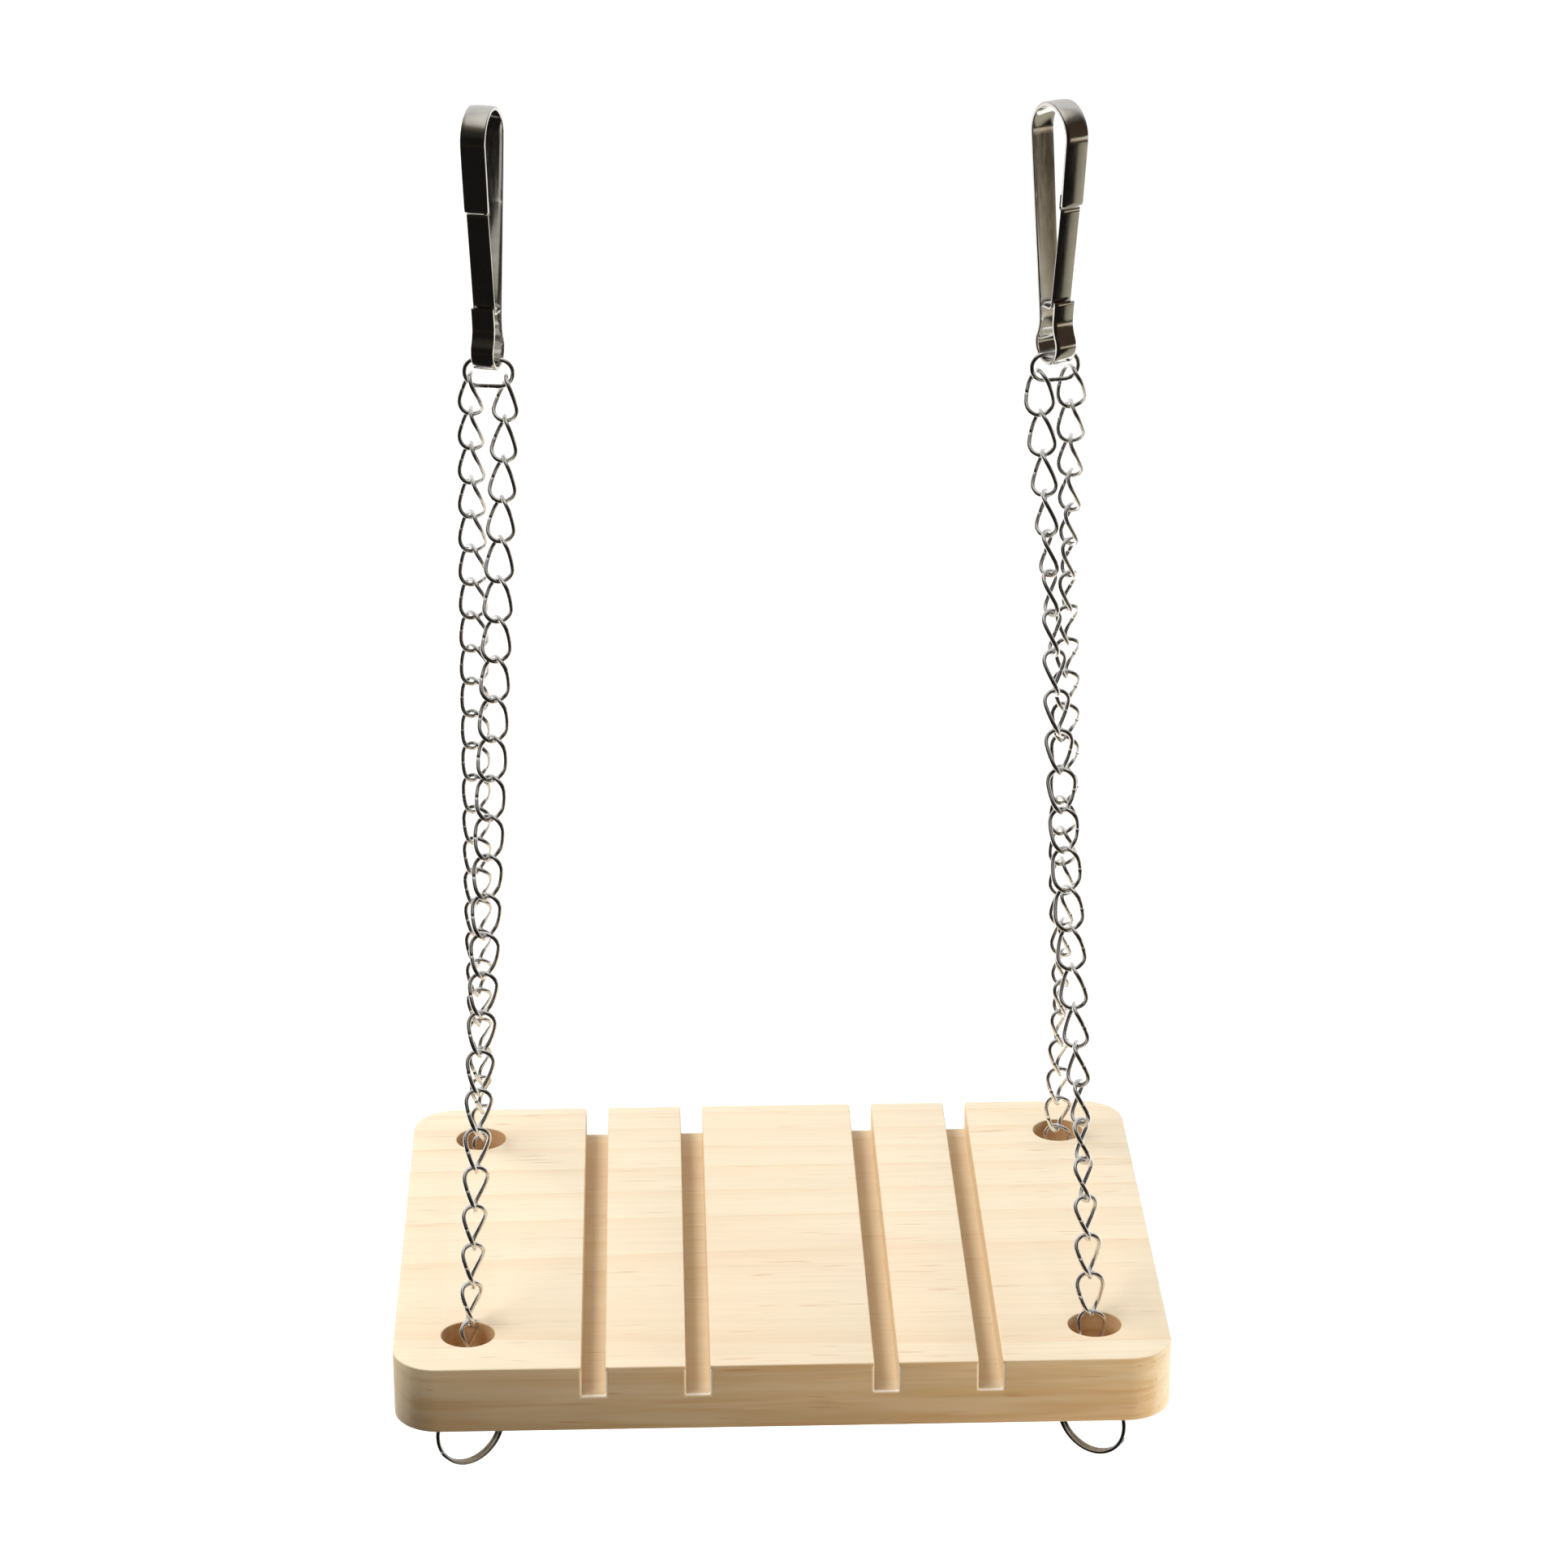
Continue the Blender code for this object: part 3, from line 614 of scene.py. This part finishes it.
def hole_cutters():
    circle = oval(HOLE_DIAMETER / 2, HOLE_DIAMETER / 2, HOLE_SEGMENTS)
    cutters = []
    for side in SIDES.values():
        for end in ENDS.values():
            x = side * (BOARD_WIDTH / 2 - HOLE_INSET)
            y = end * (BOARD_DEPTH / 2 - HOLE_INSET)
            rim = [(x + across, y + along) for across, along in circle]
            cutters.append(prism(rim, board_bottom - GROOVE_DEPTH, board_top + GROOVE_DEPTH))
    return cutters


def board_mesh():
    """The board with fine round corners, and every cut edge eased by the same small radius."""
    block = prism(board_outline(), board_bottom, board_top)
    cutters = groove_cutters() + hole_cutters()
    for cutter in cutters:
        cut(block, cutter)
    bevel = block.modifiers.new("ease", "BEVEL")
    bevel.width = EDGE_ROUND
    bevel.segments = EDGE_SEGMENTS
    bevel.limit_method = "ANGLE"
    bevel.angle_limit = EDGE_ANGLE
    bevel.harden_normals = False
    mesh = evaluated(block)
    for item in cutters + [block]:
        bpy.data.objects.remove(item)
    return mesh


dressed("grooved_board", board_mesh(), wood, "board", "board", BOARD_SHARP)


# Chain

def add_link(shape, center, axes, half_length, twist):
    """One twisted oval wire link, with a small butt seam half way down one side."""
    straight = half_length - LINK_END
    bend = math.pi * LINK_END
    length = 4 * straight + 2 * bend
    stations = [length * i / LINK_POINTS for i in range(LINK_POINTS)]
    stations += [length - SEAM_HALF, SEAM_HALF]
    points = []
    outwards = []
    sections = []
    for station in sorted(stations):
        # From the middle of the right side, up, over the top and round
        if station <= straight:
            x, z, out = LINK_END, station, (1.0, 0.0)
        elif station <= straight + bend:
            angle = (station - straight) / LINK_END
            out = (math.cos(angle), math.sin(angle))
            x, z = LINK_END * out[0], straight + LINK_END * out[1]
        elif station <= 3 * straight + bend:
            x, z, out = -LINK_END, 2 * straight + bend - station, (-1.0, 0.0)
        elif station <= 3 * straight + 2 * bend:
            angle = math.pi + (station - 3 * straight - bend) / LINK_END
            out = (math.cos(angle), math.sin(angle))
            x, z = LINK_END * out[0], -straight + LINK_END * out[1]
        else:
            x, z, out = LINK_END, station - length, (1.0, 0.0)
        turn = Matrix.Rotation(twist / 2 * z / half_length, 3, "Z")
        points.append(center + axes @ (turn @ Vector((x, 0.0, z))))
        outwards.append(axes @ (turn @ Vector((out[0], 0.0, out[1]))))
        size = WIRE * (SEAM_DIP if station == 0.0 else 1.0)
        sections.append(oval(size, size, WIRE_SIDES))
    sweep(shape, points, outwards, sections, True)


def link_axes(along, turn):
    """The axes of a link that lies along a line and is turned about it."""
    across = (Vector((1.0, 0.0, 0.0)) - along * along.x).normalized()
    behind = along.cross(across)
    axes = Matrix((across, behind, along)).transposed()
    return axes @ Matrix.Rotation(turn, 3, "Z")


def saddle_turn(side):
    """A saddle link is turned by a share of its clip's turn."""
    return SADDLE_SHARE * CLIP_TURN[side]


def leg_top(side, end):
    """The wire centre of a leg's top link, hung just inside the saddle link's end."""
    reach = LINK_END - 2 * WIRE - SADDLE_CLEARANCE
    out = SADDLE_HALF_LENGTH - LINK_END + reach * math.cos(SADDLE_CORNER)
    hung = Vector((SIDES[side] * ENDS[end] * out, 0.0, -reach * math.sin(SADDLE_CORNER)))
    return saddle_middle[side] + Matrix.Rotation(saddle_turn(side), 3, "Z") @ hung


def ring_center(side, end):
    return joint_place(f"{side}_{end}_ring_turn")


def ring_turn(side):
    """The right rings are turned as the mirror image of the left ones."""
    return RING_YAW if side == "left" else math.pi - RING_YAW


def hole_foot(side, end):
    """The wire centre at the bottom of the lowest link, which holds the ring's two turns with a clearance."""
    inner = LINK_END - WIRE
    sink = inner - math.sqrt((inner - RING_HALF_THICKNESS) ** 2 - (RING_PITCH / 2) ** 2)
    return ring_center(side, end) + UP * (RING_RADIUS - sink - WIRE - RING_LINK_CLEARANCE)


def hole_axis(side, end):
    """The line of the two links in a hole, which lean towards the leg."""
    lean = leg_top(side, end) - hole_foot(side, end)
    lean.z = 0.0
    return UP * math.cos(HOLE_LEAN) + lean.normalized() * math.sin(HOLE_LEAN)


def leg_turns(side):
    """The turn of each link of a leg and of its two hole links: one even twist from saddle to ring."""
    count = LINKS_PER_LEG + 2
    start = saddle_turn(side) + QUARTER_TURN - LINK_TWIST / 2
    finish = ring_turn(side) + QUARTER_TURN + LINK_TWIST / 2
    twist = math.remainder(finish - start, math.pi) + CHAIN_HALF_TURNS[side] * math.pi
    return [start + twist * step / (count - 1) for step in range(count)]


def dress_links(node, shape, ending, body):
    dressed(node + ending, finished(node, shape), chain_metal, body, node)


def build_leg(side, end):
    """A leg's two hole links, which move with the board, and its runs of links above them."""
    turns = leg_turns(side)
    axis = hole_axis(side, end)
    spacing = 2 * HOLE_LINK_HALF_LENGTH - 2 * WIRE
    lower_center = hole_foot(side, end) + axis * HOLE_LINK_HALF_LENGTH
    upper_center = lower_center + axis * spacing
    for name, center, turn in (("upper", upper_center, turns[-2]), ("lower", lower_center, turns[-1])):
        shape = bmesh.new()
        add_link(shape, center, link_axes(axis, turn), HOLE_LINK_HALF_LENGTH, LINK_TWIST)
        dress_links(f"{side}_{end}_{name}_hole_link", shape, "_wire", "board")
    top = leg_top(side, end)
    bottom = upper_center + axis * HOLE_LINK_HALF_LENGTH
    along = (top - bottom).normalized()
    pitch = (top - bottom).length / LINKS_PER_LEG
    half = pitch / 2 + WIRE
    for run in range(LINKS_PER_LEG // LINKS_PER_RUN):
        shape = bmesh.new()
        for link in range(run * LINKS_PER_RUN, (run + 1) * LINKS_PER_RUN):
            center = top - along * (half + pitch * link)
            add_link(shape, center, link_axes(along, turns[link]), half, LINK_TWIST)
        dress_links(f"{side}_{end}_chain_{run + 1}", shape, "_links", f"{side}_chain")


def build_saddle(side):
    """The chain's middle link, which lies level in the clip's eye."""
    shape = bmesh.new()
    lying = Matrix.Rotation(saddle_turn(side), 3, "Z") @ Matrix.Rotation(QUARTER_TURN, 3, "Y")
    add_link(shape, saddle_middle[side], lying, SADDLE_HALF_LENGTH, 0.0)
    dress_links(f"{side}_saddle_link", shape, "_wire", f"{side}_saddle")


for side in SIDES:
    build_saddle(side)
    for end in ENDS:
        build_leg(side, end)


# Split rings

def build_ring(side, end):
    """Two turns of flattened wire and one crossing: tapered ends, one standing out on the left rings."""
    start = RING_CROSSING / 2 + RING_END_SPACE
    finish = 4 * math.pi - start
    count = round((finish - start) / RING_STEP)
    place = Matrix.Translation(ring_center(side, end)) @ Matrix.Rotation(ring_turn(side), 4, "Z")
    points = []
    outwards = []
    sections = []
    for step in range(count + 1):
        angle = start + (finish - start) * step / count
        crossed = eased((angle - 2 * math.pi + RING_CROSSING / 2) / RING_CROSSING)
        offset = RING_PITCH * (crossed - 0.5)
        kick = RING_KICK[side] * max(0.0, 1 - (angle - start) / RING_KICK_SPAN) ** 2
        turn = angle + RING_SPLIT
        out = Vector((math.cos(turn), 0.0, math.sin(turn)))
        points.append(place @ (out * (RING_RADIUS + kick) + Vector((0.0, offset, 0.0))))
        outwards.append(place.to_3x3() @ out)
        size = RING_END_TAPER if step in (0, count) else 1.0
        sections.append(oval(RING_HALF_THICKNESS * size, RING_HALF_WIDTH * size, RING_SIDES))
    shape = bmesh.new()
    sweep(shape, points, outwards, sections, False)
    node = f"{side}_{end}_ring"
    dressed(node + "_wire", finished(node, shape), ring_metal, node, node)


for side in SIDES:
    for end in ENDS:
        build_ring(side, end)


# Clips and gates

def arc(center, radius, start, finish):
    count = max(2, math.ceil(abs(finish - start) / ARC_STEP))
    angles = [start + (finish - start) * step / count for step in range(count + 1)]
    return [(center[0] + radius * math.cos(angle), center[1] + radius * math.sin(angle)) for angle in angles]


def clip_outline():
    """The centre line of a clip's spine side as (depth, height), from the dome's crown to the eye's floor."""
    half_strip = CLIP_STRIP / 2
    dome = (0.0, -DOME_INNER_RADIUS)
    dome_radius = DOME_INNER_RADIUS + half_strip
    eye = (0.0, eye_floor + EYE_INNER_RADIUS)
    eye_radius = EYE_INNER_RADIUS + half_strip
    fillet_x = WAIST_INNER_DEPTH / 2 + half_strip + WAIST_FILLET
    fillet_z = eye[1] + math.sqrt((eye_radius + WAIST_FILLET) ** 2 - fillet_x ** 2)
    reach = math.hypot(fillet_x - dome[0], fillet_z - dome[1])
    heading = math.atan2(fillet_z - dome[1], fillet_x - dome[0])
    touch = heading + math.acos((dome_radius + WAIST_FILLET) / reach)
    flare = math.atan2(eye[1] - fillet_z, eye[0] - fillet_x) + 2 * math.pi
    crown = arc(dome, dome_radius, QUARTER_TURN, touch)
    waist = arc((fillet_x, fillet_z), WAIST_FILLET, touch + math.pi, flare)
    floor = arc(eye, eye_radius, flare - math.pi, -QUARTER_TURN)
    return crown + waist + floor[1:]


def depth_at(outline, height):
    """The depth of a falling outline where it passes a height."""
    for (x0, z0), (x1, z1) in zip(outline, outline[1:]):
        if z1 <= height <= z0:
            return x0 + (x1 - x0) * (z0 - height) / (z0 - z1)
    raise ValueError("height is off the clip")


def strip_width(height):
    """The clip strip's width at a height: the dome's, drawn in to the waist's, then on to the eye's."""
    waist_height = eye_floor + TONGUE_LENGTH
    shoulder = -2 * DOME_INNER_RADIUS
    if height > waist_height:
        share = min(1.0, (height - waist_height) / (shoulder - waist_height))
        return WAIST_WIDTH + (DOME_WIDTH - WAIST_WIDTH) * share
    share = min(1.0, (waist_height - height) / (waist_height - eye_floor))
    return WAIST_WIDTH + (EYE_WIDTH - WAIST_WIDTH) * share


def filled(path, step):
    """A path with extra points put in wherever two neighbours lie further apart than a step."""
    points = [path[0]]
    for (y0, z0), (y1, z1) in zip(path, path[1:]):
        count = max(1, math.ceil(math.hypot(y1 - y0, z1 - z0) / step))
        points += [(y0 + (y1 - y0) * i / count, z0 + (z1 - z0) * i / count) for i in range(1, count + 1)]
    return points


def moved(point, other, distance):
    """A point moved by a distance towards another one."""
    share = distance / math.hypot(other[0] - point[0], other[1] - point[1])
    return (point[0] + (other[0] - point[0]) * share, point[1] + (other[1] - point[1]) * share)


def strip_path(path):
    """A strip's path with even points, and one just inside each end for the rounding of the cut ends."""
    path = filled(path, STRIP_STEP)
    inset = STRIP_ROUND / 2
    first = moved(path[0], path[1], inset)
    last = moved(path[-1], path[-2], inset)
    return [path[0], first] + path[1:-1] + [last, path[-1]]


def strip_section(thickness, width):
    """A strip's section as (in, side) pairs: rounded long edges, and a slight crown towards the outside."""
    radius = min(STRIP_ROUND, thickness / 2)
    flat = width / 2 - radius
    deep = thickness / 2 - radius
    corners = []
    for quarter, (face, edge) in enumerate(QUARTERS):
        for step in range(STRIP_ROUND_STEPS + 1):
            angle = (quarter + step / STRIP_ROUND_STEPS) * QUARTER_TURN
            corners.append((face * deep + radius * math.cos(angle), edge * flat + radius * math.sin(angle)))
        if quarter % 2:
            for step in range(1, STRIP_FACE_STEPS):
                corners.append((face * thickness / 2, edge * flat * (1 - 2 * step / STRIP_FACE_STEPS)))
    return [(inward + STRIP_CROWN * (2 * aside / width) ** 2, aside) for inward, aside in corners]


def strip_mesh(name, path, widths, thickness, place):
    """A bent strip along a (depth, height) path, placed by a matrix."""
    line = [Vector((0.0, y, z)) for y, z in path]
    outwards = []
    for i in range(len(line)):
        along = line[min(i + 1, len(line) - 1)] - line[max(i - 1, 0)]
        outwards.append(Vector((0.0, along.z, -along.y)).normalized())
    sections = [strip_section(thickness, width) for width in widths]
    ends = STRIP_ROUND / 2
    sections[0] = strip_section(thickness - ends, widths[0] - ends)
    sections[-1] = strip_section(thickness - ends, widths[-1] - ends)
    shape = bmesh.new()
    sweep(shape, line, outwards, sections, False)
    shape.transform(place)
    return finished(name, shape)


def clip_place(side):
    return Matrix.Translation((saddle_middle[side].x, 0.0, 0.0)) @ Matrix.Rotation(CLIP_TURN[side], 4, "Z")


clip_line = clip_outline()
nose_end = CLIP_STRIP - NOSE_LENGTH
tongue_top = eye_floor + TONGUE_LENGTH
gate_foot = tongue_top - GATE_TUCK
spine_depth = depth_at(clip_line, gate_foot)


def slot_cutter(side):
    """The slot in a clip's spine that holds the gate's tab."""
    half_width = GATE_TAB_WIDTH / 2 + GATE_CLEARANCE
    half_height = GATE_STRIP / 2 + GATE_CLEARANCE
    reach = 2 * CLIP_STRIP
    corners = rectangle(-half_width, half_width, spine_depth - reach, spine_depth + reach)
    cutter = prism(corners, gate_foot - half_height, gate_foot + half_height)
    cutter.data.transform(clip_place(side))
    return cutter


def build_clip(side):
    """One bent strip: up the nose, over the dome, down the spine, round the eye and up the tongue."""
    nose = [(-y, z) for y, z in clip_line if z > nose_end]
    nose.append((-depth_at(clip_line, nose_end), nose_end))
    tongue = [(-depth_at(clip_line, tongue_top), tongue_top)]
    tongue += [(-y, z) for y, z in clip_line if z < tongue_top]
    path = strip_path(nose[:0:-1] + clip_line + tongue[-2::-1])
    widths = [strip_width(z) for _, z in path]
    blank = added("clip_blank", strip_mesh("clip", path, widths, CLIP_STRIP, clip_place(side)))
    cutter = slot_cutter(side)
    cut(blank, cutter)
    mesh = evaluated(blank)
    for item in (blank, cutter):
        bpy.data.objects.remove(item)
    node = side + "_clip"
    dressed(node + "_strip", mesh, clip_metal, "hangers", node)


def build_gate(side):
    """One thin leaf: a narrow tab in the spine's slot, a bend, a shoulder, and a tip behind the nose."""
    inside = CLIP_STRIP / 2 + GATE_STRIP / 2 + GATE_CLEARANCE
    neck = spine_depth - CLIP_STRIP
    tab_end = spine_depth + CLIP_STRIP / 2 + GATE_TAB_REACH
    tab = [(tab_end, gate_foot), (neck, gate_foot), (neck - STRIP_ROUND, gate_foot)]
    front = inside - spine_depth
    bend = arc((front + GATE_BEND, gate_foot + GATE_BEND), GATE_BEND, 3 * QUARTER_TURN, math.pi)
    shoulder = nose_end - GATE_CLEARANCE
    shoulder_depth = inside - depth_at(clip_line, shoulder)
    step = []
    for i in range(GATE_STEP_POINTS + 1):
        below = 1 - i / GATE_STEP_POINTS
        step.append((shoulder_depth - GATE_STEP * eased(below), shoulder - GATE_STEP_HEIGHT * below))
    tip = nose_end + GATE_OVERLAP
    path = strip_path(tab + bend + step + [(inside - depth_at(clip_line, tip), tip)])
    widths = [GATE_TAB_WIDTH if y > neck - STRIP_ROUND / 2 else GATE_WIDTH for y, _ in path]
    mesh = strip_mesh("gate", path, widths, GATE_STRIP, clip_place(side))
    node = side + "_gate"
    dressed(node + "_leaf", mesh, gate_metal, node, node)


for side in SIDES:
    build_clip(side)
    build_gate(side)


# Floor

def build_floor():
    material, _, shader = new_material("pale_floor")
    shader.inputs["Base Color"].default_value = FLOOR_TONE
    shader.inputs["Roughness"].default_value = FLOOR_ROUGHNESS
    shader.inputs["Emission Color"].default_value = FLOOR_GLOW_TONE
    shader.inputs["Emission Strength"].default_value = FLOOR_GLOW
    outline = rectangle(-FLOOR_HALF_WIDTH, FLOOR_HALF_WIDTH, FLOOR_FRONT, FLOOR_BACK)
    mesh = bpy.data.meshes.new("floor")
    mesh.from_pydata([(x, y, FLOOR_HEIGHT) for x, y in outline], [], [range(len(outline))])
    mesh.materials.append(material)
    item = added("floor", mesh)


build_floor()


# Lights and surroundings

def area_light(name, place, size, power, color):
    """A soft light that aims at the board and is not mirrored in the metal."""
    light = bpy.data.lights.new(name, "AREA")
    light.shape = "RECTANGLE"
    light.size, light.size_y = size
    light.energy = power
    light.color = color
    item = added(name, light)
    item.location = place
    item.rotation_euler = (UP * board_top - Vector(place)).to_track_quat("-Z", "Y").to_euler()
    item.visible_glossy = False


for name, light in LIGHTS.items():
    area_light(name, **light)


def direction_ramp(tree, value, stops):
    """A ramp over a value that was halved from -1 to 1 into 0 to 1, with its stops from -1 to 1."""
    return ramp(tree, value, [((position + 1) / 2, color) for position, color in stops])


def bearing_ramp(tree, value, stops):
    return direction_ramp(tree, value, [(degrees / HALF_TURN_DEGREES, color) for degrees, color in stops])


def build_world():
    """Bright behind and overhead, near black elsewhere, and on the right a brown wall with a beige band.

    Below that wall there is a pale one. The camera itself sees plain white.
    """
    world = bpy.data.worlds.new("studio")
    bpy.context.scene.world = world
    world.use_nodes = True
    tree = world.node_tree
    coordinates = tree.nodes.new("ShaderNodeTexCoord")
    direction = split(tree, coordinates.outputs["Generated"])
    depth = maths(tree, "MULTIPLY_ADD", direction["Y"], 0.5, 0.5)
    height = maths(tree, "MULTIPLY_ADD", direction["Z"], 0.5, 0.5)
    frontward = maths(tree, "MULTIPLY", direction["Y"], -1.0)
    angle = maths(tree, "ARCTAN2", direction["X"], frontward)
    bearing = maths(tree, "MULTIPLY_ADD", angle, 0.5 / math.pi, 0.5)
    behind = direction_ramp(tree, depth, BEHIND)
    above = direction_ramp(tree, height, ABOVE)
    low_share = direction_ramp(tree, height, LOW_SHARE)
    beige_share = direction_ramp(tree, height, BEIGE_SHARE)
    low_wall = bearing_ramp(tree, bearing, LOW_WALL)
    brown_wall = bearing_ramp(tree, bearing, BROWN_WALL)
    beige_wall = bearing_ramp(tree, bearing, BEIGE_WALL)
    beside = mix(tree, "MIX", low_share, brown_wall, low_wall)
    beside = mix(tree, "MIX", beige_share, beside, beige_wall)
    around = mix(tree, "LIGHTEN", 1.0, behind, above)
    around = mix(tree, "LIGHTEN", 1.0, around, beside)
    rays = tree.nodes.new("ShaderNodeLightPath")
    shown = mix(tree, "MIX", rays.outputs["Is Camera Ray"], around, BACKDROP_TONE)
    tree.links.new(shown, tree.nodes["Background"].inputs["Color"])


build_world()


# Camera

def build_camera():
    """The photograph's camera: placed from the board's top, turned, tipped down and rolled."""
    lens = bpy.data.cameras.new("camera")
    lens.sensor_fit = "HORIZONTAL"
    lens.sensor_width = SENSOR
    lens.lens = FOCAL_PIXELS / IMAGE_SIZE * SENSOR
    lens.clip_start = CAMERA_NEAR
    lens.clip_end = CAMERA_FAR
    ahead = Vector((math.sin(CAMERA_YAW), math.cos(CAMERA_YAW), 0.0))
    level = Vector((math.cos(CAMERA_YAW), -math.sin(CAMERA_YAW), 0.0))
    forward = ahead * math.cos(CAMERA_DOWN) - UP * math.sin(CAMERA_DOWN)
    rise = level.cross(forward)
    right = level * math.cos(CAMERA_ROLL) + rise * math.sin(CAMERA_ROLL)
    top = rise * math.cos(CAMERA_ROLL) - level * math.sin(CAMERA_ROLL)
    axes = Matrix((right, top, -forward)).transposed().to_4x4()
    camera = added("camera", lens)
    camera.matrix_world = Matrix.Translation(CAMERA_PLACE + UP * board_top) @ axes
    bpy.context.scene.camera = camera


build_camera()
bpy.context.scene.view_settings.view_transform = "Standard"
